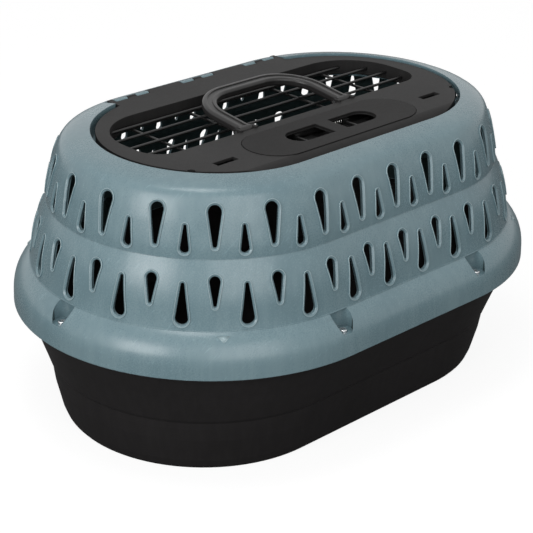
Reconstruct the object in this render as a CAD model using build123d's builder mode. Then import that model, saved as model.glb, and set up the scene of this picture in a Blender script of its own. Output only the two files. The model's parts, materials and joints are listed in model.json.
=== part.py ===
from build123d import *
import math
import os

# Top-load pet carrier. Millimetres, +Z up, origin at the bottom centre of the base.
# X runs along the carrier, -Y is the latch side and +Y is the hinge side.

# Plan of the shell: two half circles of radius r, this far each side of the middle
HALF_STRAIGHT = 76.0
WALL = 2.6

# Cuts run this far past a face, and joined blocks this far into each other
PAST = 1.0

# Outer radius and height up the side of the cover, lip to rim
FLANGE_RUN = [(163.8, 101.0), (163.5, 110.0), (162.4, 117.5), (160.0, 123.7), (155.7, 130.0), (149.3, 135.3)]
LOWER_RUN = [(149.3, 135.3), (147.6, 145.0), (146.2, 154.0), (143.4, 166.0), (140.0, 176.0), (134.6, 187.6)]
UPPER_RUN = [(134.6, 187.6), (133.7, 197.0), (131.6, 207.0), (128.9, 218.0), (125.0, 229.0), (120.6, 236.4)]
SHOULDER_RUN = [(120.6, 236.4), (115.6, 239.3), (108.0, 241.6), (94.0, 244.6)]

# Base tub: height, outer radius and half of the straight side
BASE_LEVELS = [(0.0, 117.3, 83.3), (2.5, 119.6, 83.1), (9.0, 122.4, 82.8), (18.0, 124.9, 82.3),
               (30.0, 128.3, 81.6), (41.0, 130.4, 80.9), (47.0, 131.2, 80.5), (50.0, 133.4, 80.3),
               (60.0, 137.3, 79.7), (75.0, 143.4, 78.7), (98.0, 153.6, 77.2)]
BASE_WALL = 2.6
BASE_RIM_TOP = 101.0
BASE_RIM_DEPTH = 3.0
BASE_RIM_RADIUS = 160.7

# Vents: round end radius, tip radius, and the heights of their two ends
VENT_PITCH = 40.0
VENT_ANGLES = 9
VENT_FIRST_ANGLE = 2.0
UPPER_LARGE = {"round_r": 5.3, "tip_r": 1.7, "round_z": 222.6, "tip_z": 197.8}
UPPER_SMALL = {"round_r": 3.5, "tip_r": 1.2, "round_z": 195.2, "tip_z": 212.2}
LOWER_SMALL = {"round_r": 4.3, "tip_r": 1.2, "round_z": 172.2, "tip_z": 154.5}
LOWER_LARGE = {"round_r": 5.1, "tip_r": 1.5, "round_z": 144.3, "tip_z": 169.8}
VENT_START_RADIUS = 112.0
VENT_CUT_DEPTH = 50.0

# Screw pockets in the flange
POCKET_RADIUS = 9.5
POCKET_X = 80.0
POCKET_AT = 153.0
POCKET_FLOOR = 119.5
SCREW_AT = 155.5
RIM_SCREW_HEAD_RADIUS = 3.4
RIM_SCREW_HEAD_HEIGHT = 2.4
RIM_SCREW_SHANK_RADIUS = 1.75
RIM_SCREW_TIP = BASE_RIM_TOP - BASE_RIM_DEPTH
BOSS_RADIUS = 5.0

# Recess for the lid, set a little towards the latch side
RECESS_Y = -2.4
RECESS_RADIUS = 99.5
RECESS_WALL = 2.6
LEDGE_RADIUS = 87.5
LEDGE_TOP = 229.2
LEDGE_BOTTOM = 226.6

# Lid frame
LID_TOP = 242.5
LID_BOTTOM = 229.5
LID_PLATE = 2.5
LID_SKIRT = 2.4
LID_RADIUS = 95.3
LID_STRAIGHT = 75.2
FLAP_HALF = 97.0
FLAP_BACK = 98.0
FLAP_GAP = 0.8
LIP_BACK = 107.4
LIP_GAP = 0.35
FRONT_BEVEL_START = -83.5
FRONT_BEVEL_MID = (-92.8, 240.1)
FRONT_BEVEL_DROP = 8.5
FRONT_BEVEL_CUT = 5.0
FRONT_RAIL = -81.0
LID_SPAN = 400.0
NOTCH_X = 151.0
NOTCH_RADIUS = 3.2

# Grille opening in the lid
OPEN_HALF = 153.7
OPEN_FRONT = -22.5
OPEN_BACK = 66.2
OPEN_FRONT_CORNER = 22.0
OPEN_BACK_CORNER = 50.0
OPEN_SKIRT = 2.4

# Wire grille
WIRE_RADIUS = 1.25
LONG_WIRE_Z = 235.5
LONG_WIRE_Y = [-17.5, 1.5, 20.5, 39.5, 58.5]
CROSS_WIRE_X = [-110.0, -48.0, 48.0, 110.0]
WIRE_INTO_SKIRT = 5.0
CROSS_WIRE_Z = LONG_WIRE_Z - 2 * WIRE_RADIUS - 0.02
WIRE_HOLE_EXTRA = 0.2

# Latch, drawn with its two bolts pulled in; each slides out by the travel
LATCH_Y = -60.0
PANEL_STRAIGHT = 62.0
PANEL_RADIUS = 27.3
PANEL_GROOVE = 0.4
PANEL_PROUD = 0.4
WINDOW_INNER = 7.3
WINDOW_STRAIGHT_END = 36.0
WINDOW_RADIUS = 11.7
SLOT_X = 117.8
SLOT_Y = -61.9
SLOT_SIZE = (21.4, 6.8)
SLIDER_BOTTOM = 231.6
SLIDER_PLATE = 3.0
SLIDER_INNER = 12.0
SLIDER_OUTER = 49.0
SLIDER_WIDTH = 21.0
LATCH_TRAVEL = 8.0
BOLT_TIP = 152.6
BOLT_WIDTH = 7.0
BOLT_HEIGHT = 3.6
BOLT_PASSAGE = 1.0
BOLT_ROOT = 2.0
KEEPER_SLOT = (150.0, BOLT_TIP + LATCH_TRAVEL + 3.4)
RIB_X = 28.5
RIB_THICK = 2.4
RIB_TOP = 237.6
SPRING_ARM_BACK = -42.4
SPRING_ARM_TOP = 239.3
SPRING_PEG = (1.5, 4.0)
SPRING_ARM_THICK = 2 * RIB_THICK
RAIL_START = RIB_X + RIB_THICK + LATCH_TRAVEL + 3.1
RAIL_END = SLIDER_OUTER + LATCH_TRAVEL + 1.0
RAIL_SIZE = (1.8, 2.4)
RAIL_GAP = 0.4
PANEL_SEAT = 1.4
PANEL_LIFT = 0.02

# Latch spring between the two sliders
SPRING_RADIUS = 2.2
SPRING_WIRE = 0.35
SPRING_TURNS = 9
SPRING_Y = -45.4
SPRING_Z = 236.9
SPRING_SPAN = (3.5, 25.5)
SPRING_END_GAP = 0.6
SPRING_REACH = (3.2, 4.0)

# Hinge
HINGE_Y = 104.0
HINGE_Z = 240.0
HINGE_X = [-74.0, 0.0, 74.0]
HINGE_GROUP = 36.0
LID_KNUCKLE = 9.0
KNUCKLE_GAP = 0.4
KNUCKLE_RADIUS = 3.0
PIN_RADIUS = 1.5
PIN_CLEARANCE = 0.06
TROUGH_HALF = 98.5
TROUGH_FRONT = 92.0
TROUGH_BACK = 109.2
TROUGH_FLOOR = 235.4

# Handle, folded back over the grille
HANDLE_Y = -17.5
HANDLE_Z = 241.0
HANDLE_TILT = 7.0
HANDLE_LEG_X = 56.5
HANDLE_REACH = 64.0
HANDLE_BEND = 35.0
HANDLE_WIDTH = 12.5
HANDLE_THICK = 7.4
HANDLE_CORNER = 2.4
HANDLE_CHANNEL = (4.6, 0.9)
EYE_RADIUS = 3.6
EYE_PIN_RADIUS = 1.6
LUG_THICK = 3.0
LUG_GAP = 0.4
LUG_RADIUS = 3.0
LUG_BOTTOM = 237.2

# Lid under-frame and its screws
UNDER_TOP = 231.4
UNDER_GAP = 0.2
FRAME_OVER_UNDER = 0.1
LID_SCREW_SPOTS = [(-140.0, -30.0), (-95.0, -48.0), (95.0, -48.0), (140.0, -30.0),
                   (-124.0, 66.0), (-40.0, 80.0), (40.0, 80.0), (124.0, 66.0)]
LID_SCREW_HEAD_RADIUS = 2.8
LID_SCREW_HEAD_HEIGHT = 1.6
LID_SCREW_SHANK_RADIUS = 1.4
LID_SCREW_LENGTH = 8.0
LID_BOSS_RADIUS = 3.6
SCREW_CLEARANCE = 0.05
CROSS_RECESS = (0.7, 1.0)

os.makedirs("parts", exist_ok=True)


def keep(sub_part, name):
    """Label a finished sub-part and write its STEP."""
    sub_part.part.label = name
    export_step(sub_part.part, f"parts/{name}.step")


def inset(points, depth):
    """Points moved inwards, square to the run that they lie on."""
    moved = []
    last = len(points) - 1
    for i, (r, z) in enumerate(points):
        before = points[max(i - 1, 0)]
        after = points[min(i + 1, last)]
        dr = after[0] - before[0]
        dz = after[1] - before[1]
        size = math.hypot(dr, dz)
        moved.append((r - depth * dz / size, z + depth * dr / size))
    return moved


def cover_outline(depth):
    """Half section of the cover from its axis to its side, moved inwards by depth."""
    points = inset(FLANGE_RUN[:-1] + LOWER_RUN[:-1] + UPPER_RUN[:-1] + SHOULDER_RUN, depth)
    crease = len(FLANGE_RUN) - 1
    waist = crease + len(LOWER_RUN) - 1
    first, last = points[0], points[-1]
    with BuildSketch(Plane.XZ) as outline:
        with BuildLine():
            Polyline((last[0], last[1]), (0, last[1]), (0, first[1]), first)
            Spline(*points[:crease + 1])
            Spline(*points[crease:waist + 1])
            Spline(*points[waist:])
        make_face()
    return outline.sketch


def stadium_turn(outline):
    """Solid of a half section carried round the stadium plan."""
    with BuildPart() as turned:
        for side in (-1, 1):
            with Locations((side * HALF_STRAIGHT, 0, 0)):
                add(revolve(outline, Axis.Z, 360, mode=Mode.PRIVATE))
        half = extrude(outline.rotate(Axis.Z, 90), HALF_STRAIGHT, dir=(1, 0, 0), both=True, mode=Mode.PRIVATE)
        add(half)
        add(half.rotate(Axis.Z, 180))
    return turned.part


def stadium_lift(levels, depth, bottom):
    """Solid through stadium sections, each moved inwards by depth."""
    with BuildPart() as lifted:
        for height, radius, straight in levels:
            with BuildSketch(Plane.XY.offset(max(height, bottom))):
                SlotCenterToCenter(2 * straight, 2 * (radius - depth))
        loft(ruled=True)
    return lifted.part


def opening_outline(grow=0.0):
    """Outline of the lid's grille opening: small front corners and large back ones."""
    half = OPEN_HALF + grow
    front = OPEN_FRONT - grow
    back = OPEN_BACK + grow
    with BuildSketch() as outline:
        with Locations((0, (front + back) / 2)):
            Rectangle(2 * half, back - front)
        corners = outline.vertices().group_by(Axis.Y)
        fillet(corners[0], OPEN_FRONT_CORNER + grow)
        corners = outline.vertices().group_by(Axis.Y)
        fillet(corners[-1], OPEN_BACK_CORNER + grow)
    return outline.sketch


def lid_outline(grow=0.0):
    """Outline of the lid: a stadium with a straight hinge flap at the back."""
    with BuildSketch() as outline:
        with Locations((0, RECESS_Y)):
            SlotCenterToCenter(2 * LID_STRAIGHT, 2 * (LID_RADIUS + grow))
        with Locations((0, FLAP_BACK / 2 + grow)):
            Rectangle(2 * (FLAP_HALF + grow), FLAP_BACK)
    return outline.sketch


def window_outline(side):
    """Finger window: a straight inner end and a round outer end."""
    with BuildSketch() as outline:
        with Locations((side * (WINDOW_INNER + WINDOW_STRAIGHT_END) / 2, LATCH_Y)):
            Rectangle(WINDOW_STRAIGHT_END - WINDOW_INNER, 2 * WINDOW_RADIUS)
        with Locations((side * WINDOW_STRAIGHT_END, LATCH_Y)):
            Circle(WINDOW_RADIUS)
    return outline.sketch


def vent_planes(on_angle, straight_xs):
    """Upright planes round the cover that face outwards, one for each vent of a row."""
    planes = []
    step = (180.0 - 2 * VENT_FIRST_ANGLE) / VENT_ANGLES
    for end in (-1, 1):
        for k in range(VENT_ANGLES + (1 if on_angle else 0)):
            angle = VENT_FIRST_ANGLE + step * (k if on_angle else k + 0.5)
            out = Vector(end * math.sin(math.radians(angle)), -math.cos(math.radians(angle)), 0)
            foot = Vector(end * HALF_STRAIGHT, 0, 0) + out * VENT_START_RADIUS
            planes.append(Plane(origin=foot, x_dir=Vector(-out.Y, out.X, 0), z_dir=out))
    for front in (-1, 1):
        for x in straight_xs:
            out = Vector(0, front, 0)
            foot = Vector(x, front * VENT_START_RADIUS, 0)
            planes.append(Plane(origin=foot, x_dir=Vector(-out.Y, out.X, 0), z_dir=out))
    return planes


def vent_cutter(vent):
    """Teardrop block that cuts one vent through the wall."""
    with BuildPart() as cutter:
        with BuildSketch():
            with Locations((0, vent["round_z"])):
                Circle(vent["round_r"])
            with Locations((0, vent["tip_z"])):
                Circle(vent["tip_r"])
            make_hull()
        extrude(amount=VENT_CUT_DEPTH)
    return cutter.part


LARGE_XS = [-VENT_PITCH, 0.0, VENT_PITCH]
SMALL_XS = [-1.5 * VENT_PITCH, -0.5 * VENT_PITCH, 0.5 * VENT_PITCH, 1.5 * VENT_PITCH]
VENT_ROWS = [(UPPER_LARGE, True, LARGE_XS), (UPPER_SMALL, False, SMALL_XS),
             (LOWER_SMALL, True, LARGE_XS), (LOWER_LARGE, False, SMALL_XS)]
POCKETS = [(-POCKET_X, -1), (POCKET_X, -1), (-POCKET_X, 1), (POCKET_X, 1)]


def round_rim(radius):
    """Points at this radius under each screw pocket: four on the sides, two on the ends."""
    corner = math.sqrt(radius ** 2 - (POCKET_X - HALF_STRAIGHT) ** 2)
    points = [(x, side * corner) for x, side in POCKETS]
    return points + [(-HALF_STRAIGHT - radius, 0.0), (HALF_STRAIGHT + radius, 0.0)]


# Base tub: a drawn-in oval tub with a stepped side and an outward rim
tub_inner_levels = [(BASE_WALL, *BASE_LEVELS[1][1:])] + BASE_LEVELS[2:]
tub_outer = stadium_lift(BASE_LEVELS, 0.0, 0.0)
tub_inner = stadium_lift(tub_inner_levels, BASE_WALL, BASE_WALL)
with BuildPart() as base_tub:
    add(tub_outer)
    with BuildSketch(Plane.XY.offset(BASE_RIM_TOP - BASE_RIM_DEPTH)):
        SlotCenterToCenter(2 * HALF_STRAIGHT, 2 * BASE_RIM_RADIUS)
    extrude(amount=BASE_RIM_DEPTH)
    add(tub_inner, mode=Mode.SUBTRACT)
    with BuildSketch(Plane.XY.offset(BASE_RIM_TOP - BASE_RIM_DEPTH)):
        SlotCenterToCenter(2 * BASE_LEVELS[-1][2], 2 * (BASE_LEVELS[-1][1] - BASE_WALL))
    extrude(amount=BASE_RIM_DEPTH, mode=Mode.SUBTRACT)
    with BuildSketch(Plane.XY.offset(RIM_SCREW_TIP)):
        with Locations(*round_rim(SCREW_AT)):
            Circle(RIM_SCREW_SHANK_RADIUS)
    extrude(amount=BASE_RIM_TOP - RIM_SCREW_TIP, mode=Mode.SUBTRACT)
keep(base_tub, "base_tub")

# Cover shell: flange, two vented bands, shoulder, lid recess and hinge knuckles
cover_outer = stadium_turn(cover_outline(0.0))
cover_middle = stadium_turn(cover_outline(WALL / 2))
cover_inner = stadium_turn(cover_outline(WALL))
recess_front_back = TROUGH_BACK + RECESS_WALL - TROUGH_FRONT
with BuildPart() as fittings:
    for x, y in round_rim(POCKET_AT):
        with BuildSketch(Plane.XY.offset(POCKET_FLOOR - WALL)):
            with Locations((x, y)):
                Circle(POCKET_RADIUS + WALL)
        extrude(amount=FLANGE_RUN[-1][1] - POCKET_FLOOR + WALL)
    with BuildSketch(Plane.XY.offset(BASE_RIM_TOP)):
        with Locations(*round_rim(SCREW_AT)):
            Circle(BOSS_RADIUS)
    extrude(amount=POCKET_FLOOR - BASE_RIM_TOP)
    with BuildSketch(Plane.XY.offset(LEDGE_BOTTOM)):
        with Locations((0, RECESS_Y)):
            SlotCenterToCenter(2 * LID_STRAIGHT, 2 * (RECESS_RADIUS + RECESS_WALL))
    extrude(amount=SHOULDER_RUN[-1][1] - LEDGE_BOTTOM)
    with Locations((0, (TROUGH_FRONT + TROUGH_BACK + RECESS_WALL) / 2, LEDGE_BOTTOM)):
        Box(2 * (TROUGH_HALF + RECESS_WALL), recess_front_back, SHOULDER_RUN[-1][1] - LEDGE_BOTTOM,
            align=(Align.CENTER, Align.CENTER, Align.MIN))
    add(cover_middle, mode=Mode.INTERSECT)

with BuildPart() as knuckles:
    with BuildSketch(Plane.YZ) as knuckle_side:
        with Locations((HINGE_Y, HINGE_Z)):
            Circle(KNUCKLE_RADIUS)
        with Locations((HINGE_Y, (TROUGH_FLOOR + HINGE_Z - PAST) / 2)):
            Rectangle(2 * KNUCKLE_RADIUS, HINGE_Z - TROUGH_FLOOR + PAST)
    for x in HINGE_X:
        for side in (-1, 1):
            near = x + side * (LID_KNUCKLE / 2 + KNUCKLE_GAP)
            far = x + side * HINGE_GROUP / 2
            slab = extrude(knuckle_side.sketch, abs(far - near), dir=(1, 0, 0), mode=Mode.PRIVATE)
            add(slab.moved(Location((min(near, far), 0, 0))))

with BuildPart() as vented_shell:
    add(cover_outer)
    add(cover_inner, mode=Mode.SUBTRACT)
    for vent, on_angle, straight_xs in VENT_ROWS:
        with Locations(*[plane.location for plane in vent_planes(on_angle, straight_xs)]):
            add(vent_cutter(vent), mode=Mode.SUBTRACT)

with BuildPart() as cover_shell:
    add(vented_shell.part)
    add(fittings.part)
    with BuildSketch(Plane.XY.offset(LEDGE_BOTTOM)):
        with Locations((0, RECESS_Y)):
            SlotCenterToCenter(2 * LID_STRAIGHT, 2 * LEDGE_RADIUS)
    extrude(amount=LEDGE_TOP - LEDGE_BOTTOM, mode=Mode.SUBTRACT)
    with BuildSketch(Plane.XY.offset(LEDGE_TOP)):
        with Locations((0, RECESS_Y)):
            SlotCenterToCenter(2 * LID_STRAIGHT, 2 * RECESS_RADIUS)
    extrude(amount=SHOULDER_RUN[-1][1] - LEDGE_TOP + PAST, mode=Mode.SUBTRACT)
    with Locations((0, TROUGH_FRONT, TROUGH_FLOOR)):
        Box(2 * TROUGH_HALF, TROUGH_BACK - TROUGH_FRONT, SHOULDER_RUN[-1][1] - TROUGH_FLOOR,
            align=(Align.CENTER, Align.MIN, Align.MIN), mode=Mode.SUBTRACT)
    with Locations((0, TROUGH_FRONT, LEDGE_TOP)):
        Box(2 * TROUGH_HALF, FLAP_BACK + FLAP_GAP - TROUGH_FRONT, SHOULDER_RUN[-1][1] - LEDGE_TOP,
            align=(Align.CENTER, Align.MIN, Align.MIN), mode=Mode.SUBTRACT)
    with BuildSketch(Plane.XY.offset(POCKET_FLOOR)):
        with Locations(*round_rim(POCKET_AT)):
            Circle(POCKET_RADIUS)
    extrude(amount=FLANGE_RUN[-1][1] - POCKET_FLOOR, mode=Mode.SUBTRACT)
    with BuildSketch(Plane.XY.offset(BASE_RIM_TOP)):
        with Locations(*round_rim(SCREW_AT)):
            Circle(RIM_SCREW_SHANK_RADIUS)
    extrude(amount=POCKET_FLOOR - BASE_RIM_TOP + PAST, mode=Mode.SUBTRACT)
    for side in (-1, 1):
        with Locations((side * sum(KEEPER_SLOT) / 2, LATCH_Y, SLIDER_BOTTOM + BOLT_HEIGHT / 2)):
            Box(KEEPER_SLOT[1] - KEEPER_SLOT[0], BOLT_WIDTH + BOLT_PASSAGE, BOLT_HEIGHT + BOLT_PASSAGE,
                mode=Mode.SUBTRACT)
    add(knuckles.part)
    for x in HINGE_X:
        with Locations(Location((x, HINGE_Y, HINGE_Z), (0, 90, 0))):
            Cylinder(PIN_RADIUS + PIN_CLEARANCE, HINGE_GROUP + PAST, mode=Mode.SUBTRACT)
keep(cover_shell, "cover_shell")

with BuildPart() as rim_screws:
    with BuildSketch(Plane.XY.offset(POCKET_FLOOR)):
        with Locations(*round_rim(SCREW_AT)):
            Circle(RIM_SCREW_HEAD_RADIUS)
    extrude(amount=RIM_SCREW_HEAD_HEIGHT)
    fillet(rim_screws.edges().group_by(Axis.Z)[-1], RIM_SCREW_HEAD_HEIGHT / 3)
    with BuildSketch(Plane.XY.offset(RIM_SCREW_TIP)):
        with Locations(*round_rim(SCREW_AT)):
            Circle(RIM_SCREW_SHANK_RADIUS - SCREW_CLEARANCE)
    extrude(amount=POCKET_FLOOR - RIM_SCREW_TIP)
    with BuildSketch(Plane.XY.offset(POCKET_FLOOR + RIM_SCREW_HEAD_HEIGHT)):
        with Locations(*round_rim(SCREW_AT)):
            Rectangle(RIM_SCREW_HEAD_RADIUS, CROSS_RECESS[0])
            Rectangle(CROSS_RECESS[0], RIM_SCREW_HEAD_RADIUS)
    extrude(amount=-CROSS_RECESS[1], mode=Mode.SUBTRACT)
keep(rim_screws, "rim_screws")

# Hinge pins, one through each knuckle group
for x, place in zip(HINGE_X, ("left", "middle", "right")):
    with BuildPart() as hinge_pin:
        with Locations(Location((x, HINGE_Y, HINGE_Z), (0, 90, 0))):
            Cylinder(PIN_RADIUS, HINGE_GROUP)
    keep(hinge_pin, f"hinge_pin_{place}")


def open_half_at(y):
    """Half width of the grille opening at this y."""
    front_centre = OPEN_FRONT + OPEN_FRONT_CORNER
    back_centre = OPEN_BACK - OPEN_BACK_CORNER
    if y < front_centre:
        return OPEN_HALF - OPEN_FRONT_CORNER + math.sqrt(OPEN_FRONT_CORNER ** 2 - (front_centre - y) ** 2)
    if y > back_centre:
        return OPEN_HALF - OPEN_BACK_CORNER + math.sqrt(OPEN_BACK_CORNER ** 2 - (y - back_centre) ** 2)
    return OPEN_HALF


def long_wires(radius, extra):
    """Rods along X, one at each long wire, extra longer at both ends."""
    with BuildPart() as rods:
        for y in LONG_WIRE_Y:
            half = open_half_at(y) + WIRE_INTO_SKIRT + extra
            with Locations(Location((0, y, LONG_WIRE_Z), (0, 90, 0))):
                Cylinder(radius, 2 * half)
    return rods.part


def cross_wires(radius, extra):
    """Rods along Y under the long wires, extra longer at both ends."""
    half = (OPEN_BACK - OPEN_FRONT) / 2 + WIRE_INTO_SKIRT + extra
    with BuildPart() as rods:
        for x in CROSS_WIRE_X:
            with Locations(Location((x, (OPEN_BACK + OPEN_FRONT) / 2, CROSS_WIRE_Z), (90, 0, 0))):
                Cylinder(radius, 2 * half)
    return rods.part


lug_xs = [side * HANDLE_LEG_X + near * (HANDLE_WIDTH / 2 + LUG_GAP + LUG_THICK / 2)
          for side in (-1, 1) for near in (-1, 1)]

# Lid frame: plate, skirts, solid front rail, handle lugs, screw bosses and hinge knuckles
plate_bottom = LID_TOP - LID_PLATE
frame_bottom = UNDER_TOP + FRAME_OVER_UNDER
bevel_foot = (RECESS_Y - LID_RADIUS - WIRE_HOLE_EXTRA, LID_TOP - FRONT_BEVEL_DROP)
with BuildPart() as lid_frame:
    with BuildSketch(Plane.XY.offset(plate_bottom)):
        add(lid_outline())
    extrude(amount=LID_PLATE)
    with BuildSketch(Plane.XY.offset(plate_bottom)):
        with Locations((0, (FLAP_BACK - PAST + LIP_BACK) / 2)):
            Rectangle(2 * FLAP_HALF, LIP_BACK - FLAP_BACK + PAST)
        with Locations(*[(x, HINGE_Y) for x in HINGE_X]):
            Rectangle(HINGE_GROUP + 2 * LIP_GAP, 2 * (LIP_BACK - HINGE_Y + LIP_GAP), mode=Mode.SUBTRACT)
    extrude(amount=LID_PLATE)
    with BuildSketch(Plane.XY.offset(LID_BOTTOM)):
        add(lid_outline())
        add(lid_outline(-LID_SKIRT), mode=Mode.SUBTRACT)
    extrude(amount=plate_bottom - LID_BOTTOM)
    with BuildSketch(Plane.XY.offset(frame_bottom)):
        add(opening_outline(OPEN_SKIRT))
    extrude(amount=plate_bottom - frame_bottom)
    with BuildSketch(Plane.XY.offset(frame_bottom)):
        with Locations((0, FRONT_RAIL - LID_RADIUS / 2)):
            Rectangle(LID_SPAN, LID_RADIUS)
        add(lid_outline(), mode=Mode.INTERSECT)
    extrude(amount=plate_bottom - frame_bottom)
    with BuildSketch(Plane.XY.offset(frame_bottom)):
        with Locations(*LID_SCREW_SPOTS):
            Circle(LID_BOSS_RADIUS)
    extrude(amount=plate_bottom - frame_bottom)
    with BuildSketch(Plane.XY.offset(LID_BOTTOM - PAST)):
        add(opening_outline())
    extrude(amount=LID_TOP - LID_BOTTOM + 2 * PAST, mode=Mode.SUBTRACT)
    with BuildSketch(Plane.XY.offset(LID_TOP - PANEL_SEAT)):
        with Locations((0, LATCH_Y)):
            SlotCenterToCenter(2 * PANEL_STRAIGHT, 2 * (PANEL_RADIUS + PANEL_GROOVE))
    extrude(amount=PANEL_SEAT, mode=Mode.SUBTRACT)
    with BuildSketch(Plane.XY.offset(plate_bottom)):
        add(window_outline(-1))
        add(window_outline(1))
        with Locations((-SLOT_X, SLOT_Y), (SLOT_X, SLOT_Y)):
            Rectangle(*SLOT_SIZE)
    extrude(amount=LID_PLATE, mode=Mode.SUBTRACT)
    with BuildSketch(Plane.XY.offset(LID_BOTTOM)):
        with Locations((-NOTCH_X, LATCH_Y), (NOTCH_X, LATCH_Y)):
            Circle(NOTCH_RADIUS)
    extrude(amount=LID_TOP - LID_BOTTOM, mode=Mode.SUBTRACT)
    with Locations((0, LATCH_Y, SLIDER_BOTTOM + BOLT_HEIGHT / 2)):
        Box(2 * KEEPER_SLOT[1], BOLT_WIDTH + BOLT_PASSAGE, BOLT_HEIGHT + BOLT_PASSAGE, mode=Mode.SUBTRACT)
    with BuildSketch(Plane.XY.offset(UNDER_TOP)):
        with Locations(*LID_SCREW_SPOTS):
            Circle(LID_SCREW_SHANK_RADIUS)
    extrude(amount=LID_BOTTOM + LID_SCREW_LENGTH + WIRE_HOLE_EXTRA - UNDER_TOP, mode=Mode.SUBTRACT)
    add(long_wires(WIRE_RADIUS + SCREW_CLEARANCE, WIRE_HOLE_EXTRA), mode=Mode.SUBTRACT)
    add(cross_wires(WIRE_RADIUS + SCREW_CLEARANCE, WIRE_HOLE_EXTRA), mode=Mode.SUBTRACT)
    with BuildSketch(Plane.YZ.offset(-LID_SPAN / 2)):
        with BuildLine():
            ThreePointArc((FRONT_BEVEL_START, LID_TOP), FRONT_BEVEL_MID, bevel_foot)
            Polyline(bevel_foot, (bevel_foot[0] - FRONT_BEVEL_CUT, bevel_foot[1]),
                     (bevel_foot[0] - FRONT_BEVEL_CUT, LID_TOP + PAST),
                     (FRONT_BEVEL_START, LID_TOP + PAST), (FRONT_BEVEL_START, LID_TOP))
        make_face()
    extrude(amount=LID_SPAN, mode=Mode.SUBTRACT)
    with BuildSketch(*[Plane.YZ.offset(x - LUG_THICK / 2) for x in lug_xs]):
        with Locations((HANDLE_Y, HANDLE_Z)):
            Circle(LUG_RADIUS)
        with Locations(((HANDLE_Y + OPEN_FRONT - PAST) / 2, (LUG_BOTTOM + HANDLE_Z + LUG_RADIUS) / 2)):
            Rectangle(HANDLE_Y - OPEN_FRONT + PAST, HANDLE_Z + LUG_RADIUS - LUG_BOTTOM)
    extrude(amount=LUG_THICK)
    for x in lug_xs:
        with Locations(Location((x, HANDLE_Y, HANDLE_Z), (0, 90, 0))):
            Cylinder(EYE_PIN_RADIUS + SCREW_CLEARANCE, LUG_THICK + PAST, mode=Mode.SUBTRACT)
    with BuildSketch(*[Plane.YZ.offset(x - LID_KNUCKLE / 2) for x in HINGE_X]):
        with Locations((HINGE_Y, HINGE_Z)):
            Circle(KNUCKLE_RADIUS)
        with Locations(((HINGE_Y + FLAP_BACK - PAST) / 2, LID_TOP - KNUCKLE_RADIUS / 2)):
            Rectangle(HINGE_Y - FLAP_BACK + PAST, KNUCKLE_RADIUS)
    extrude(amount=LID_KNUCKLE)
    for x in HINGE_X:
        with Locations(Location((x, HINGE_Y, HINGE_Z), (0, 90, 0))):
            Cylinder(PIN_RADIUS + PIN_CLEARANCE, LID_KNUCKLE + PAST, mode=Mode.SUBTRACT)
keep(lid_frame, "lid_frame")

# Under-frame: closes the lid from below, clamps the wires and guides the sliders
with BuildPart() as lid_under_frame:
    with BuildSketch(Plane.XY.offset(LID_BOTTOM)):
        add(lid_outline(-LID_SKIRT - UNDER_GAP))
        add(opening_outline(), mode=Mode.SUBTRACT)
        with Locations(*LID_SCREW_SPOTS):
            Circle(LID_SCREW_SHANK_RADIUS + SCREW_CLEARANCE, mode=Mode.SUBTRACT)
    extrude(amount=UNDER_TOP - LID_BOTTOM)
    rail_x = (RAIL_START + RAIL_END) / 2
    rail_y = (SLIDER_WIDTH + RAIL_SIZE[0]) / 2 + RAIL_GAP
    with BuildSketch(Plane.XY.offset(UNDER_TOP)):
        for side in (-1, 1):
            with Locations((side * rail_x, LATCH_Y - rail_y), (side * rail_x, LATCH_Y + rail_y)):
                Rectangle(RAIL_END - RAIL_START, RAIL_SIZE[0])
    extrude(amount=RAIL_SIZE[1])
keep(lid_under_frame, "lid_under_frame")

with BuildPart() as lid_screws:
    with BuildSketch(Plane.XY.offset(LID_BOTTOM - LID_SCREW_HEAD_HEIGHT)):
        with Locations(*LID_SCREW_SPOTS):
            Circle(LID_SCREW_HEAD_RADIUS)
    extrude(amount=LID_SCREW_HEAD_HEIGHT)
    with BuildSketch(Plane.XY.offset(LID_BOTTOM)):
        with Locations(*LID_SCREW_SPOTS):
            Circle(LID_SCREW_SHANK_RADIUS - SCREW_CLEARANCE)
    extrude(amount=LID_SCREW_LENGTH)
keep(lid_screws, "lid_screws")

# Wire grille
with BuildPart() as grille_long_wires:
    add(long_wires(WIRE_RADIUS, 0.0))
keep(grille_long_wires, "grille_long_wires")

with BuildPart() as grille_cross_wires:
    add(cross_wires(WIRE_RADIUS, 0.0))
keep(grille_cross_wires, "grille_cross_wires")

# Latch panel, sliders and spring
with BuildPart() as latch_panel:
    with BuildSketch(Plane.XY.offset(LID_TOP - PANEL_SEAT + PANEL_LIFT)):
        with Locations((0, LATCH_Y)):
            SlotCenterToCenter(2 * PANEL_STRAIGHT, 2 * PANEL_RADIUS)
        add(window_outline(-1), mode=Mode.SUBTRACT)
        add(window_outline(1), mode=Mode.SUBTRACT)
    extrude(amount=PANEL_SEAT + PANEL_PROUD - PANEL_LIFT)
    fillet(latch_panel.edges().group_by(Axis.Z)[-1], PANEL_PROUD)
keep(latch_panel, "latch_panel")

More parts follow.
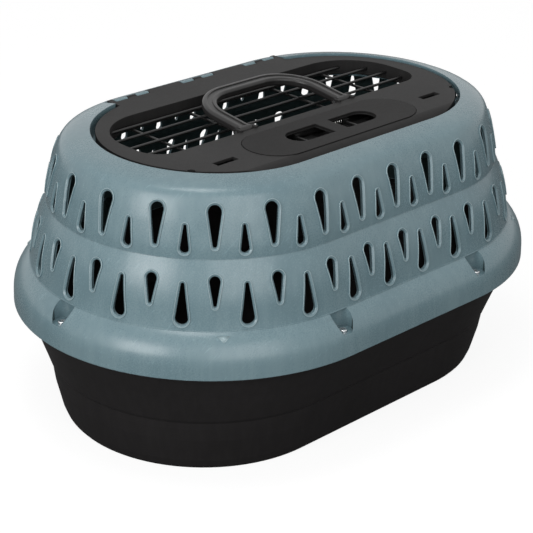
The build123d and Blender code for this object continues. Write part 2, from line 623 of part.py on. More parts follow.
for side, place in ((-1, "left"), (1, "right")):
    with BuildPart() as latch_slider:
        with Locations((side * (SLIDER_INNER + SLIDER_OUTER) / 2, LATCH_Y, SLIDER_BOTTOM)):
            Box(SLIDER_OUTER - SLIDER_INNER, SLIDER_WIDTH, SLIDER_PLATE,
                align=(Align.CENTER, Align.CENTER, Align.MIN))
        with Locations((side * RIB_X, LATCH_Y, SLIDER_BOTTOM)):
            Box(RIB_THICK, SLIDER_WIDTH - 2 * PAST, RIB_TOP - SLIDER_BOTTOM,
                align=(Align.CENTER, Align.CENTER, Align.MIN))
        fillet(latch_slider.edges().group_by(Axis.Z)[-1].filter_by(Axis.Y), RIB_THICK / 3)
        with Locations((side * RIB_X, LATCH_Y + SLIDER_WIDTH / 2 - PAST, SLIDER_BOTTOM)):
            Box(SPRING_ARM_THICK, SPRING_ARM_BACK - LATCH_Y - SLIDER_WIDTH / 2 + PAST,
                SPRING_ARM_TOP - SLIDER_BOTTOM, align=(Align.CENTER, Align.MIN, Align.MIN))
        if side < 0:
            with Locations(((SPRING_SPAN[0] - SPRING_END_GAP - RIB_X) / 2, SPRING_Y, SPRING_Z)):
                Box(SPRING_SPAN[0] - SPRING_END_GAP + RIB_X, *SPRING_REACH)
        seat = SPRING_SPAN[0] - SPRING_END_GAP if side < 0 else SPRING_SPAN[1] + SPRING_END_GAP
        with Locations(Location((seat - side * SPRING_PEG[1] / 2, SPRING_Y, SPRING_Z), (0, 90, 0))):
            Cylinder(SPRING_PEG[0], SPRING_PEG[1])
        with Locations((side * (SLIDER_OUTER + BOLT_TIP - BOLT_ROOT) / 2, LATCH_Y, SLIDER_BOTTOM)):
            Box(BOLT_TIP - SLIDER_OUTER + BOLT_ROOT, BOLT_WIDTH, BOLT_HEIGHT,
                align=(Align.CENTER, Align.CENTER, Align.MIN))
        bolt_end = latch_slider.faces().sort_by(Axis.X)[-1 if side > 0 else 0]
        chamfer(bolt_end.edges().sort_by(Axis.Z)[0], BOLT_HEIGHT / 2)
    keep(latch_slider, f"latch_slider_{place}")


def coil_point(turn):
    """Point and direction on the spring's centre line after this many turns."""
    angle = 2 * math.pi * turn
    pitch = (SPRING_SPAN[1] - SPRING_SPAN[0]) / SPRING_TURNS
    point = Vector(SPRING_SPAN[0] + pitch * turn,
                   SPRING_Y + SPRING_RADIUS * math.sin(angle),
                   SPRING_Z + SPRING_RADIUS * math.cos(angle))
    around = 2 * math.pi * SPRING_RADIUS
    direction = Vector(pitch, around * math.cos(angle), -around * math.sin(angle))
    return point, direction.normalized()


def biarc_joint(start, start_dir, end, end_dir):
    """Point where two arcs that keep both end directions meet."""
    chord = end - start
    both = start_dir + end_dir
    spread = 2 * (1 - start_dir.dot(end_dir))
    reach = (-chord.dot(both) + math.sqrt(chord.dot(both) ** 2 + spread * chord.dot(chord))) / spread
    return (start + start_dir * reach + end - end_dir * reach) / 2


with BuildPart() as latch_spring:
    with BuildLine() as coil_line:
        for k in range(2 * SPRING_TURNS):
            start, start_dir = coil_point(k / 2)
            end, end_dir = coil_point((k + 1) / 2)
            joint = biarc_joint(start, start_dir, end, end_dir)
            first_arc = TangentArc(start, joint, tangent=start_dir)
            TangentArc(joint, end, tangent=first_arc % 1)
    with BuildSketch(Plane(origin=coil_point(0)[0], z_dir=coil_point(0)[1])):
        Circle(SPRING_WIRE)
    sweep()
keep(latch_spring, "latch_spring")
points_a_turn = 40
spring_points = [coil_point(k / points_a_turn)[0] for k in range(points_a_turn * SPRING_TURNS)]
spring_gap = min((point - other).length for i, point in enumerate(spring_points)
                 for other in spring_points[i + points_a_turn // 2:i + 2 * points_a_turn])
print("spring least gap to itself", round(spring_gap - 2 * SPRING_WIRE, 2))

# Handle: a bail with a shallow channel along its top, folded back over the grille
handle_plane = Plane(origin=(0, HANDLE_Y, HANDLE_Z), x_dir=(1, 0, 0),
                     z_dir=(0, -math.sin(math.radians(HANDLE_TILT)), math.cos(math.radians(HANDLE_TILT))))
bend_start = HANDLE_REACH - HANDLE_BEND
bend_side = HANDLE_LEG_X - HANDLE_BEND
diagonal = HANDLE_BEND * math.sqrt(0.5)
with BuildPart() as handle_bail:
    with BuildLine(handle_plane):
        Line((-HANDLE_LEG_X, 0), (-HANDLE_LEG_X, bend_start))
        ThreePointArc((-HANDLE_LEG_X, bend_start), (-bend_side - diagonal, bend_start + diagonal),
                      (-bend_side, HANDLE_REACH))
        Line((-bend_side, HANDLE_REACH), (bend_side, HANDLE_REACH))
        ThreePointArc((bend_side, HANDLE_REACH), (bend_side + diagonal, bend_start + diagonal),
                      (HANDLE_LEG_X, bend_start))
        Line((HANDLE_LEG_X, bend_start), (HANDLE_LEG_X, 0))
    leg_foot = handle_plane.from_local_coords(Vector(-HANDLE_LEG_X, 0, 0))
    with BuildSketch(Plane(origin=leg_foot, x_dir=(1, 0, 0), z_dir=handle_plane.y_dir)):
        RectangleRounded(HANDLE_WIDTH, HANDLE_THICK, HANDLE_CORNER)
        with Locations((0, -HANDLE_THICK / 2)):
            Rectangle(HANDLE_CHANNEL[0], 2 * HANDLE_CHANNEL[1], mode=Mode.SUBTRACT)
    sweep()
    for side in (-1, 1):
        with Locations(Location((side * HANDLE_LEG_X, HANDLE_Y, HANDLE_Z), (0, 90, 0))):
            Cylinder(EYE_RADIUS, HANDLE_WIDTH)
            Cylinder(EYE_PIN_RADIUS + SCREW_CLEARANCE, HANDLE_WIDTH + PAST, mode=Mode.SUBTRACT)
keep(handle_bail, "handle_bail")

for side, place in ((-1, "left"), (1, "right")):
    with BuildPart() as handle_pin:
        with Locations(Location((side * HANDLE_LEG_X, HANDLE_Y, HANDLE_Z), (0, 90, 0))):
            Cylinder(EYE_PIN_RADIUS, HANDLE_WIDTH + 2 * (LUG_GAP + LUG_THICK))
    keep(handle_pin, f"handle_pin_{place}")
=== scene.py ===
import json
import math

import bmesh
import bpy
import numpy as np
from mathutils import Matrix, Vector
from mathutils.bvhtree import BVHTree


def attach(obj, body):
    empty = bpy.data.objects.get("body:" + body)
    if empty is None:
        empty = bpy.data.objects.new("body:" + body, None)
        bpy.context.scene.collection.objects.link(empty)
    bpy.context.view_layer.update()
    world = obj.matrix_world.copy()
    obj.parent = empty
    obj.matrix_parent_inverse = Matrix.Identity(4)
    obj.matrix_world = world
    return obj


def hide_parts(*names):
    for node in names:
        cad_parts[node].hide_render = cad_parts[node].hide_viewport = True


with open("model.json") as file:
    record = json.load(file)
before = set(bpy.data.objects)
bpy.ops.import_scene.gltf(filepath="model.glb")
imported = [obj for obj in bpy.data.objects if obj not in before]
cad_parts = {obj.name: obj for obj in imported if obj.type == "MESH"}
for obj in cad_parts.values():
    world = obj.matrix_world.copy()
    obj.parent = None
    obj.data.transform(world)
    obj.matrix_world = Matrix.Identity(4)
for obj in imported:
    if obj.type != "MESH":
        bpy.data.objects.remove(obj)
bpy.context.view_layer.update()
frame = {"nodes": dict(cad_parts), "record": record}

NODES = frame["nodes"]
MM = 0.001

# Plan of the shell, as in the part: two half circles this far each side of the middle
HALF_STRAIGHT = 76.0 * MM

# Places of the vents round each end, and along each straight side
VENT_PITCH = 40.0 * MM
VENT_STEPS = 9
VENT_FIRST_ANGLE = 2.0
ON_ANGLE_XS = (-VENT_PITCH, 0.0, VENT_PITCH)
BETWEEN_XS = (-1.5 * VENT_PITCH, -0.5 * VENT_PITCH, 0.5 * VENT_PITCH, 1.5 * VENT_PITCH)
# Vent rows in millimetres: round end radius, tip radius and the heights of the two ends;
# last, whether the row's vents stand on the angle steps or between them
VENT_ROWS = {
    "vent_rims_upper_large": (5.3, 1.7, 222.6, 197.8, True),
    "vent_rims_upper_small": (3.5, 1.2, 195.2, 212.2, False),
    "vent_rims_lower_small": (4.3, 1.2, 172.2, 154.5, True),
    "vent_rims_lower_large": (5.1, 1.5, 144.3, 169.8, False),
}

# Section of a vent's raised rim in millimetres: distance out from the hole's edge, and height over the wall
RIM_SECTION = ((-0.1, -1.5), (-0.1, -0.1), (0.3, 0.3), (1.0, 0.4),
               (1.2, 0.95), (1.6, 1.0), (1.8, 0.7), (1.85, -0.4))
# The rings of faces along its top, which get a paler colour as painted highlight
RIM_RIDGE = (4, 5)
RIM_TURN_POINTS = 36
RIM_LONGEST_STEP = 2.5 * MM

# The column on the front where the cover's height profile is read: it has no vents
PROFILE_X = 10.0 * MM
PROFILE_LOW = 101.5 * MM
PROFILE_HIGH = 236.0 * MM
PROFILE_STEPS = 180

# Thin beads along the crease above the flange, the waist, and the seam between cover and base:
# height, radius of the bead, and how far inside the cover's side it runs
BEADS = {"crease_bead": (135.3 * MM, 0.55 * MM, 0.0), "waist_bead": (187.6 * MM, 0.3 * MM, 0.0),
         "seam_bead": (101.0 * MM, 0.3 * MM, 2.85 * MM)}
BEAD_SIDES = 8
STADIUM_END_STEPS = 64
STADIUM_SIDE_STEPS = 24

# Small moulded marks above the flange: place, and their half length, width and height
MARK_ANGLE = 38.7
MARK_Z = 132.4 * MM
MARK_SIZE = (6.4 * MM, 5.2 * MM, 2.2 * MM)
MARK_PLACES = ((-1, -1), (1, -1), (-1, 1), (1, 1))
# The slope of a mark's point, how far its top draws in and rises, and its rounding
MARK_SLOPE = 0.8
MARK_DRAW_IN = 0.25
MARK_RISE = 0.45
MARK_BEVEL = 0.45 * MM
MARK_BEVEL_STEPS = 3

# Faces of the cover this far under its outside are its inside, which gets a darker colour as painted shade,
# where they face inwards, or above this height downwards, by more than this share of their normal
INSIDE_DEPTH = 1.8 * MM
COVER_INSIDE_TOP = 226.0 * MM
FACING = 0.35

# Camera, solved from the photograph
CAMERA_AZIMUTH = -44.678
CAMERA_ELEVATION = 24.700
CAMERA_ROLL = 1.189
CAMERA_DISTANCE = 1.425
CAMERA_TARGET = Vector((0, 0, 0.096351))
PHOTO_PIXELS = 533
FOCAL_PIXELS = 1639
CENTRE_PIXEL = (276.31, 267.0)
SENSOR = 36.0
CLIP_START = 0.01

# Studio: lamps, the world's light on the part, and the floor
LAMPS = {
    "top_lamp": {"place": (-0.35, -0.10, 1.35), "aim": (0, 0, 0.1), "size": 0.4, "energy": 3.2},
    "left_lamp": {"place": (-2.2, -0.35, 0.85), "aim": (0, 0, 0.12), "size": 1.0, "energy": 21.0},
    "front_lamp": {"place": (-0.9, -1.9, 0.9), "aim": (0, 0, 0.12), "size": 1.5, "energy": 16.0},
}
WORLD_LIGHT = 0.42
WHITE = (1, 1, 1, 1)
FLOOR_SIZE = 12.0
FLOOR_COLOUR = (0.21, 0.21, 0.21, 1)
FLOOR_ROUGHNESS = 0.9
FLOOR_GLOSS = 0.1
FLOOR_GLOW = 0.87

# Moulded plastic: clouds of tone, upright flow streaks, and slanted handling scratches.
# A scale is per metre, a range is the part of the noise that counts, and a share is how much it mixes in
CLOUD_SCALE = 9.0
CLOUD_RANGE = (0.35, 0.7)
CLOUD_SHARE = 0.7
STREAK_SCALE = 210.0
STREAK_STRETCH = (1.0, 1.0, 0.05)
STREAK_RANGE = (0.4, 0.7)
STREAK_SHARE = 0.5
STREAK_DEPTH = 0.06 * MM
STREAK_STRENGTH = 0.5
SCRATCH_TURN = (1.18, 0.0, -0.65)
SCRATCH_SCALE = 60.0
SCRATCH_STRETCH = (14.0, 0.5, 14.0)
SCRATCH_RANGE = (0.62, 0.72)
SCRATCH_GAIN = 1.6
SCRATCH_LIFT = 0.02
SPECK_SCALE = 900.0
ROUGHNESS_RANGE = (0.3, 0.7)
CLOUD_ROUGHNESS = 0.05
SPECK_ROUGHNESS = 0.03
PLASTIC_IOR = 1.5
BEVEL_SAMPLES = 4

# Metal: fine marks along the drawing direction
METAL_SCALE = 900.0
METAL_STRETCH = (1.0, 3.0, 1.0)
METAL_RANGE = (0.35, 0.7)
METAL_DULL = 0.72
METAL_ROUGHNESS = (-0.06, 0.08)
METAL_MARK_DEPTH = 0.03 * MM
METAL_MARK_STRENGTH = 0.6

# Each plastic: its two tones, roughness, grain scale and depth, edge rounding, scratches and gloss
PLASTICS = {
    "cover_plastic": {"tone": (0.125, 0.200, 0.228), "light": (0.165, 0.245, 0.272), "roughness": 0.27,
                      "grain": 1500.0, "depth": 0.008 * MM, "edge": 0.7 * MM, "scuff": 0.30, "gloss": 0.5},
    # painted highlight: a paler teal for the rims' ridges and the moulded marks
    "cover_painted_highlight": {"tone": (0.250, 0.345, 0.370), "light": (0.290, 0.385, 0.410), "roughness": 0.30,
                   "grain": 1500.0, "depth": 0.008 * MM, "edge": 0.3 * MM, "scuff": 0.10, "gloss": 0.6},
    # painted shade: the cover's inside, a darker teal than the cover's own colour
    "cover_inside_painted_shade": {"tone": (0.030, 0.050, 0.052), "light": (0.040, 0.064, 0.066), "roughness": 0.60,
                     "grain": 900.0, "depth": 0.03 * MM, "edge": 0.7 * MM, "scuff": 0.04, "gloss": 0.2},
    "base_plastic": {"tone": (0.0180, 0.0170, 0.0173), "light": (0.0225, 0.0212, 0.0216), "roughness": 0.40,
                     "grain": 1100.0, "depth": 0.01 * MM, "edge": 0.9 * MM, "scuff": 0.02, "gloss": 0.03},
    "lid_plastic": {"tone": (0.0175, 0.0170, 0.0170), "light": (0.0230, 0.0225, 0.0225), "roughness": 0.55,
                    "grain": 1500.0, "depth": 0.02 * MM, "edge": 0.8 * MM, "scuff": 0.05, "gloss": 0.12},
    "panel_plastic": {"tone": (0.0105, 0.0100, 0.0100), "light": (0.0140, 0.0135, 0.0135), "roughness": 0.50,
                      "grain": 1600.0, "depth": 0.01 * MM, "edge": 0.8 * MM, "scuff": 0.05, "gloss": 0.07},
    "handle_plastic": {"tone": (0.0120, 0.0115, 0.0115), "light": (0.0180, 0.0170, 0.0170), "roughness": 0.34,
                       "grain": 1500.0, "depth": 0.01 * MM, "edge": 0.8 * MM, "scuff": 0.04, "gloss": 0.4},
    "latch_plastic": {"tone": (0.006, 0.006, 0.006), "light": (0.009, 0.009, 0.009), "roughness": 0.36,
                      "grain": 1400.0, "depth": 0.01 * MM, "edge": 0.5 * MM, "scuff": 0.03, "gloss": 0.3},
    "coated_wire": {"tone": (0.006, 0.006, 0.006), "light": (0.010, 0.010, 0.010), "roughness": 0.32,
                    "grain": 1300.0, "depth": 0.01 * MM, "edge": 0.3 * MM, "scuff": 0.03, "gloss": 0.4},
}
METALS = {
    "spring_steel": {"colour": (0.72, 0.72, 0.70), "roughness": 0.22},
    "screw_steel": {"colour": (0.74, 0.75, 0.76), "roughness": 0.26},
    "pin_steel": {"colour": (0.48, 0.48, 0.48), "roughness": 0.32},
}
# The latch panel's finish is smoother than its slot's
OWN_FINISH = {"latch_panel": "panel_plastic"}


def new_material(name):
    """A material with its Principled shader."""
    material = bpy.data.materials.new(name)
    material.use_nodes = True
    return material, material.node_tree, material.node_tree.nodes["Principled BSDF"]


def node(tree, kind, inputs=None, **settings):
    """A shader node with these settings, and these input values or links."""
    made = tree.nodes.new(kind)
    for key, value in settings.items():
        setattr(made, key, value)
    for key, value in (inputs or {}).items():
        if isinstance(value, bpy.types.NodeSocket):
            tree.links.new(value, made.inputs[key])
        else:
            made.inputs[key].default_value = value
    return made


def noise(tree, place, scale, detail=3.0, stretch=(1, 1, 1)):
    """Noise in the row frame; stretch scales each axis."""
    mapped = node(tree, "ShaderNodeMapping", {"Vector": place, "Scale": stretch})
    made = node(tree, "ShaderNodeTexNoise", {"Vector": mapped.outputs[0], "Scale": scale, "Detail": detail})
    return made.outputs["Fac"]


def ramp(tree, value, low, high, to_low=0.0, to_high=1.0):
    """Maps value from low..high onto to_low..to_high, held at its ends."""
    made = node(tree, "ShaderNodeMapRange", {"Value": value, "From Min": low, "From Max": high,
                                             "To Min": to_low, "To Max": to_high})
    return made.outputs[0]


def mix_colour(tree, share, first, second):
    """A mix of two colours."""
    made = node(tree, "ShaderNodeMix", data_type="RGBA")
    tree.links.new(share, made.inputs["Factor"])
    for socket, value in (("A", first), ("B", second)):
        target = [i for i in made.inputs if i.name == socket and i.type == "RGBA"][0]
        if isinstance(value, bpy.types.NodeSocket):
            tree.links.new(value, target)
        else:
            target.default_value = (*value, 1)
    return [o for o in made.outputs if o.type == "RGBA"][0]


def moulded_plastic(name, tone, light, roughness, grain, depth, edge, scuff, gloss):
    """Moulded plastic: soft clouds of tone, flow streaks, fine grain, light scratches and softened edges."""
    material, tree, shader = new_material(name)
    place = node(tree, "ShaderNodeTexCoord").outputs["Object"]
    clouds = noise(tree, place, CLOUD_SCALE, 3.0)
    streaks = noise(tree, place, STREAK_SCALE, 3.0, STREAK_STRETCH)
    specks = noise(tree, place, SPECK_SCALE, 2.0)
    turned = node(tree, "ShaderNodeMapping", {"Vector": place, "Rotation": SCRATCH_TURN}).outputs[0]
    scratches = noise(tree, turned, SCRATCH_SCALE, 2.0, SCRATCH_STRETCH)
    share = node(tree, "ShaderNodeMath", {0: ramp(tree, clouds, *CLOUD_RANGE, 0.0, CLOUD_SHARE),
                                          1: ramp(tree, streaks, *STREAK_RANGE, 0.0, STREAK_SHARE)},
                 operation="ADD")
    body = mix_colour(tree, share.outputs[0], tone, light)
    scuffed = ramp(tree, scratches, *SCRATCH_RANGE, 0.0, scuff)
    pale = tuple(min(1.0, channel * SCRATCH_GAIN + SCRATCH_LIFT) for channel in light)
    tree.links.new(mix_colour(tree, scuffed, body, pale), shader.inputs["Base Color"])
    cloudy = ramp(tree, clouds, *ROUGHNESS_RANGE, roughness - CLOUD_ROUGHNESS, roughness + CLOUD_ROUGHNESS)
    speckled = ramp(tree, specks, *ROUGHNESS_RANGE, -SPECK_ROUGHNESS, SPECK_ROUGHNESS)
    rough = node(tree, "ShaderNodeMath", {0: cloudy, 1: speckled}, operation="ADD")
    tree.links.new(rough.outputs[0], shader.inputs["Roughness"])
    shader.inputs["IOR"].default_value = PLASTIC_IOR
    shader.inputs["Specular IOR Level"].default_value = gloss
    soft = node(tree, "ShaderNodeBevel", {"Radius": edge}, samples=BEVEL_SAMPLES)
    fine = node(tree, "ShaderNodeBump", {"Height": noise(tree, place, grain, 2.0), "Distance": depth,
                                         "Strength": 1.0, "Normal": soft.outputs[0]})
    wave = node(tree, "ShaderNodeBump", {"Height": streaks, "Distance": STREAK_DEPTH,
                                         "Strength": STREAK_STRENGTH, "Normal": fine.outputs[0]})
    tree.links.new(wave.outputs[0], shader.inputs["Normal"])
    return material


def metal(name, colour, roughness):
    """Plated or drawn steel with fine scratches."""
    material, tree, shader = new_material(name)
    place = node(tree, "ShaderNodeTexCoord").outputs["Object"]
    marks = noise(tree, place, METAL_SCALE, 3.0, METAL_STRETCH)
    dull = tuple(channel * METAL_DULL for channel in colour)
    worn = mix_colour(tree, ramp(tree, marks, *METAL_RANGE), colour, dull)
    tree.links.new(worn, shader.inputs["Base Color"])
    smooth, coarse = (roughness + change for change in METAL_ROUGHNESS)
    tree.links.new(ramp(tree, marks, *ROUGHNESS_RANGE, smooth, coarse), shader.inputs["Roughness"])
    shader.inputs["Metallic"].default_value = 1.0
    bump = node(tree, "ShaderNodeBump", {"Height": marks, "Distance": METAL_MARK_DEPTH,
                                         "Strength": METAL_MARK_STRENGTH})
    tree.links.new(bump.outputs[0], shader.inputs["Normal"])
    return material


MATERIALS = {name: moulded_plastic(name, **look) for name, look in PLASTICS.items()}
MATERIALS.update({name: metal(name, **look) for name, look in METALS.items()})


def dress_nodes():
    """Each CAD node gets the material of its slot, or its own finish."""
    for part in frame["record"]["subparts"]:
        obj = NODES[part["node"]]
        obj.data.materials.clear()
        obj.data.materials.append(MATERIALS[OWN_FINISH.get(part["node"], part["material_slot"])])


def read_profile():
    """Heights and radii up the side of the cover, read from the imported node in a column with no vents."""
    cover = NODES["cover_shell"].data
    tree = BVHTree.FromPolygons([v.co for v in cover.vertices], [p.vertices for p in cover.polygons])
    heights = np.linspace(PROFILE_LOW, PROFILE_HIGH, PROFILE_STEPS)
    radii = []
    for z in heights:
        hit = tree.ray_cast(Vector((PROFILE_X, -1.0, z)), Vector((0, 1, 0)))[0]
        radii.append(-hit.y)
    return heights, np.array(radii)


def vent_places(on_angle, xs):
    """Foot and outward direction of each vent of a row, in plan."""
    places = []
    step = (180.0 - 2 * VENT_FIRST_ANGLE) / VENT_STEPS
    for end in (-1, 1):
        for k in range(VENT_STEPS + (1 if on_angle else 0)):
            angle = math.radians(VENT_FIRST_ANGLE + step * (k if on_angle else k + 0.5))
            places.append((Vector((end * HALF_STRAIGHT, 0, 0)),
                           Vector((end * math.sin(angle), -math.cos(angle), 0)), True))
    for front in (-1, 1):
        for x in xs:
            places.append((Vector((x, 0, 0)), Vector((0, front, 0)), False))
    return places


def teardrop(round_r, tip_r, round_z, tip_z, grow):
    """Outline of a vent grown by this much: the hull of its two end circles."""
    points = []
    for k in range(RIM_TURN_POINTS):
        angle = 2 * math.pi * (k + 0.5) / RIM_TURN_POINTS
        out = (math.cos(angle), math.sin(angle))
        ends = [(round_z * out[1] + round_r, round_z, round_r), (tip_z * out[1] + tip_r, tip_z, tip_r)]
        z, r = max(ends)[1:]
        points.append((r * out[0] + grow * out[0], z + (r + grow) * out[1]))
    return points


def divided(loops):
    """Every loop with the same extra points where its first one has long steps."""
    steps = []
    first = loops[0]
    for k, point in enumerate(first):
        after = first[(k + 1) % len(first)]
        steps.append(max(1, math.ceil(math.dist(point, after) / RIM_LONGEST_STEP)))
    finer = []
    for loop in loops:
        points = []
        for k, point in enumerate(loop):
            after = loop[(k + 1) % len(loop)]
            for j in range(steps[k]):
                t = j / steps[k]
                points.append((point[0] + (after[0] - point[0]) * t, point[1] + (after[1] - point[1]) * t))
        finer.append(points)
    return finer


def on_wall(centre, out, is_end, x, z, height, profile):
    """Point this high over the cover's wall, at x across and z up from the foot of a vent."""
    heights, radii = profile
    radius = float(np.interp(z, heights, radii))
    slope = float(np.interp(z + MM, heights, radii) - np.interp(z - MM, heights, radii)) / (2 * MM)
    across = Vector((-out.y, out.x, 0))
    plan = (out * math.sqrt(radius ** 2 - x ** 2) + across * x) if is_end else out * radius
    radial = plan.normalized() if is_end else out
    foot = centre + plan if is_end else centre + plan + across * x
    normal = (radial - Vector((0, 0, slope))).normalized()
    return foot + Vector((0, 0, z)) + normal * height


def mesh_piece(name, vertices, faces, material, body):
    """A mesh object that rides on a body."""
    mesh = bpy.data.meshes.new(name)
    mesh.from_pydata([tuple(v) for v in vertices], [], faces)
    made = bmesh.new()
    made.from_mesh(mesh)
    bmesh.ops.recalc_face_normals(made, faces=made.faces)
    made.to_mesh(mesh)
    made.free()
    mesh.shade_smooth()
    mesh.materials.append(material)
    obj = bpy.data.objects.new(name, mesh)
    bpy.context.scene.collection.objects.link(obj)
    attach(obj, body)
    return obj


def make_vent_rims(profile):
    """The raised rim round each vent, one piece for each row of vents."""
    rings = len(RIM_SECTION)
    for name, (round_r, tip_r, round_z, tip_z, on_angle) in VENT_ROWS.items():
        sizes = (round_r * MM, tip_r * MM, round_z * MM, tip_z * MM)
        loops = divided([teardrop(*sizes, grow * MM) for grow, _ in RIM_SECTION])
        count = len(loops[0])
        vertices, faces = [], []
        for centre, out, is_end in vent_places(on_angle, ON_ANGLE_XS if on_angle else BETWEEN_XS):
            start = len(vertices)
            for loop, (_, height) in zip(loops, RIM_SECTION):
                vertices += [on_wall(centre, out, is_end, x, z, height * MM, profile) for x, z in loop]
            for j in range(rings):
                this_ring = start + j * count
                next_ring = start + (j + 1) % rings * count
                for k in range(count):
                    after = (k + 1) % count
                    faces.append((this_ring + k, this_ring + after, next_ring + after, next_ring + k))
        piece = mesh_piece(name, vertices, faces, MATERIALS["cover_plastic"], "carrier")
        # painted highlight: the ridge rings take the paler teal
        piece.data.materials.append(MATERIALS["cover_painted_highlight"])
        for polygon in piece.data.polygons:
            ring = polygon.index // count % rings
            polygon.material_index = int(ring in RIM_RIDGE)


def stadium_points(profile, z, inset):
    """Points and outward directions round the cover's side at this height, moved inwards by inset."""
    radius = float(np.interp(z, *profile)) - inset
    points = []
    for end in (1, -1):
        for k in range(STADIUM_END_STEPS):
            angle = math.pi * (k / STADIUM_END_STEPS - 0.5) + (0 if end > 0 else math.pi)
            out = Vector((math.cos(angle), math.sin(angle), 0))
            points.append((Vector((end * HALF_STRAIGHT, 0, z)) + out * radius, out))
        for k in range(STADIUM_SIDE_STEPS):
            x = end * HALF_STRAIGHT * (1 - 2 * k / STADIUM_SIDE_STEPS)
            points.append((Vector((x, end * radius, z)), Vector((0, end, 0))))
    return points


def make_beads(profile):
    """Thin beads along the cover's two creases and along its seam with the base."""
    for name, (z, size, inset) in BEADS.items():
        vertices, faces = [], []
        places = stadium_points(profile, z, inset)
        for point, out in places:
            for k in range(BEAD_SIDES):
                angle = 2 * math.pi * k / BEAD_SIDES
                vertices.append(point + out * size * math.cos(angle) + Vector((0, 0, size * math.sin(angle))))
        for i in range(len(places)):
            this_ring = i * BEAD_SIDES
            next_ring = (i + 1) % len(places) * BEAD_SIDES
            for k in range(BEAD_SIDES):
                after = (k + 1) % BEAD_SIDES
                faces.append((this_ring + k, next_ring + k, next_ring + after, this_ring + after))
        mesh_piece(name, vertices, faces, MATERIALS["cover_plastic"], "carrier")


def make_marks(profile):
    """Four small three-cornered moulded marks above the flange."""
    length, width, height = MARK_SIZE
    angle = math.radians(MARK_ANGLE)
    radius = float(np.interp(MARK_Z, *profile))
    for number, (end, front) in enumerate(MARK_PLACES, 1):
        out = Vector((end * math.sin(angle), front * math.cos(angle), 0))
        across = Vector((-out.y, out.x, 0))
        base = Vector((end * HALF_STRAIGHT, 0, MARK_Z)) + out * radius
        point = base + out * width - Vector((0, 0, width * MARK_SLOPE))
        corners = [base + across * length, base - across * length, point]
        made = bmesh.new()
        low = [made.verts.new(c - Vector((0, 0, height)) - out * height) for c in corners]
        rise = Vector((0, 0, height * MARK_RISE))
        high = [made.verts.new(c + (base - c) * MARK_DRAW_IN + rise) for c in corners]
        made.faces.new(low)
        made.faces.new(high)
        for k in range(3):
            after = (k + 1) % 3
            made.faces.new((low[k], low[after], high[after], high[k]))
        bmesh.ops.bevel(made, geom=list(made.edges), offset=MARK_BEVEL,
                        segments=MARK_BEVEL_STEPS, affect="EDGES")
        made.verts.index_update()
        vertices = [vertex.co.copy() for vertex in made.verts]
        faces = [[vertex.index for vertex in face.verts] for face in made.faces]
        made.free()
        name = f"moulded_mark_{number}"
        # painted highlight: the mark is a paler teal than the cover
        mesh_piece(name, vertices, faces, MATERIALS["cover_painted_highlight"], "carrier")


def make_cover(profile):
    """The cover, with its inside given a darker colour as painted shade."""
    mesh = NODES["cover_shell"].data.copy()
    mesh.materials.clear()
    mesh.materials.append(MATERIALS["cover_plastic"])
    mesh.materials.append(MATERIALS["cover_inside_painted_shade"])
    count = len(mesh.polygons)
    centres = np.zeros(count * 3)
    mesh.polygons.foreach_get("center", centres)
    normals = np.zeros(count * 3)
    mesh.polygons.foreach_get("normal", normals)
    x, y, z = centres.reshape(-1, 3).T
    along_x, along_y, along_z = normals.reshape(-1, 3).T
    past = np.sign(x) * np.maximum(np.abs(x) - HALF_STRAIGHT, 0)
    reach = np.hypot(past, y)
    outward = (along_x * past + along_y * y) / reach
    inwards = (outward < -FACING) & (z < COVER_INSIDE_TOP)
    downwards = (along_z < -FACING) & (z > COVER_INSIDE_TOP)
    # painted shade: these faces of the cover's inside get the darker second material
    inside = (reach < np.interp(z, *profile) - INSIDE_DEPTH) & (inwards | downwards)
    mesh.polygons.foreach_set("material_index", inside.astype(np.int32))
    cover = bpy.data.objects.new("cover", mesh)
    bpy.context.scene.collection.objects.link(cover)
    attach(cover, "carrier")
    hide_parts("cover_shell")


def make_camera():
    """The photograph's camera."""
    azimuth, elevation, roll = (math.radians(v) for v in (CAMERA_AZIMUTH, CAMERA_ELEVATION, CAMERA_ROLL))
    level = math.cos(elevation)
    back = Vector((math.sin(azimuth) * level, -math.cos(azimuth) * level, math.sin(elevation)))
    right = Vector((math.cos(azimuth), math.sin(azimuth), 0))
    up = right.cross(-back)
    across = right * math.cos(roll) + up * math.sin(roll)
    above = up * math.cos(roll) - right * math.sin(roll)
    place = CAMERA_TARGET + back * CAMERA_DISTANCE
    data = bpy.data.cameras.new("camera")
    data.sensor_width = SENSOR
    data.lens = FOCAL_PIXELS / PHOTO_PIXELS * SENSOR
    data.shift_x = (PHOTO_PIXELS / 2 - CENTRE_PIXEL[0]) / PHOTO_PIXELS
    data.shift_y = (CENTRE_PIXEL[1] - PHOTO_PIXELS / 2) / PHOTO_PIXELS
    data.clip_start = CLIP_START
    camera = bpy.data.objects.new("camera", data)
    turn = Matrix((across, above, back)).transposed().to_4x4()
    camera.matrix_world = Matrix.Translation(place) @ turn
    bpy.context.scene.collection.objects.link(camera)
    bpy.context.scene.camera = camera


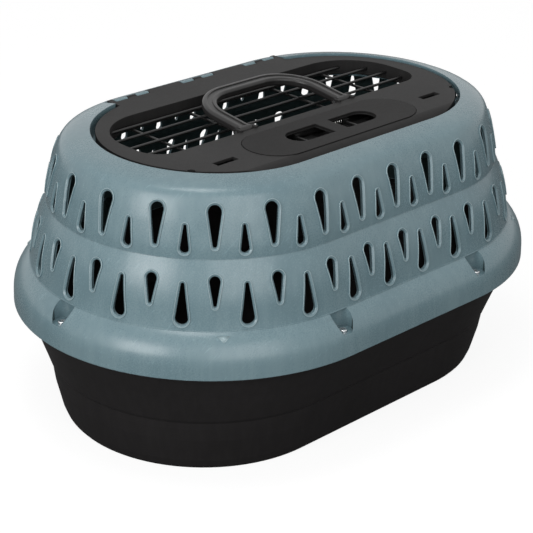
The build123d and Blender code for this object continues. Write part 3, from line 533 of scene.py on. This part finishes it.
def seen_white(tree):
    """World background: white to the camera and in reflections, soft light elsewhere."""
    path = node(tree, "ShaderNodeLightPath")
    first = node(tree, "ShaderNodeMath", {0: path.outputs["Is Camera Ray"], 1: path.outputs["Is Glossy Ray"]},
                 operation="MAXIMUM")
    seen = node(tree, "ShaderNodeMath", {0: first.outputs[0], 1: path.outputs["Is Transmission Ray"]},
                operation="MAXIMUM")
    lit = node(tree, "ShaderNodeBackground", {"Color": WHITE, "Strength": WORLD_LIGHT})
    white = node(tree, "ShaderNodeBackground", {"Color": WHITE, "Strength": 1.0})
    mixed = node(tree, "ShaderNodeMixShader", {0: seen.outputs[0], 1: lit.outputs[0], 2: white.outputs[0]})
    tree.links.new(mixed.outputs[0], tree.nodes["World Output"].inputs["Surface"])


def add_lamp(name, place, aim, size, energy):
    """A soft square lamp."""
    data = bpy.data.lights.new(name, "AREA")
    data.shape = "SQUARE"
    data.size = size
    data.energy = energy
    lamp = bpy.data.objects.new(name, data)
    lamp.location = place
    lamp.rotation_euler = (Vector(aim) - Vector(place)).to_track_quat("-Z", "Y").to_euler()
    bpy.context.scene.collection.objects.link(lamp)


def make_studio():
    """Pale floor, white surround and soft lamps."""
    world = bpy.data.worlds.new("studio")
    bpy.context.scene.world = world
    world.use_nodes = True
    seen_white(world.node_tree)
    for name, lamp in LAMPS.items():
        add_lamp(name, **lamp)
    bpy.ops.mesh.primitive_plane_add(size=FLOOR_SIZE, location=(0, 0, 0))
    floor = bpy.context.object
    floor.name = "floor"
    material, tree, shader = new_material("floor")
    shader.inputs["Base Color"].default_value = FLOOR_COLOUR
    shader.inputs["Roughness"].default_value = FLOOR_ROUGHNESS
    shader.inputs["Specular IOR Level"].default_value = FLOOR_GLOSS
    path = node(tree, "ShaderNodeLightPath")
    glow = node(tree, "ShaderNodeEmission", {"Color": WHITE})
    strength = ramp(tree, path.outputs["Is Camera Ray"], 0.0, 1.0, 0.0, FLOOR_GLOW)
    tree.links.new(strength, glow.inputs["Strength"])
    both = node(tree, "ShaderNodeAddShader", {0: shader.outputs[0], 1: glow.outputs[0]})
    tree.links.new(both.outputs[0], tree.nodes["Material Output"].inputs["Surface"])
    floor.data.materials.append(material)


bpy.context.scene.view_settings.view_transform = "Standard"
make_camera()
make_studio()
dress_nodes()
wall = read_profile()
make_cover(wall)
make_vent_rims(wall)
make_beads(wall)
make_marks(wall)
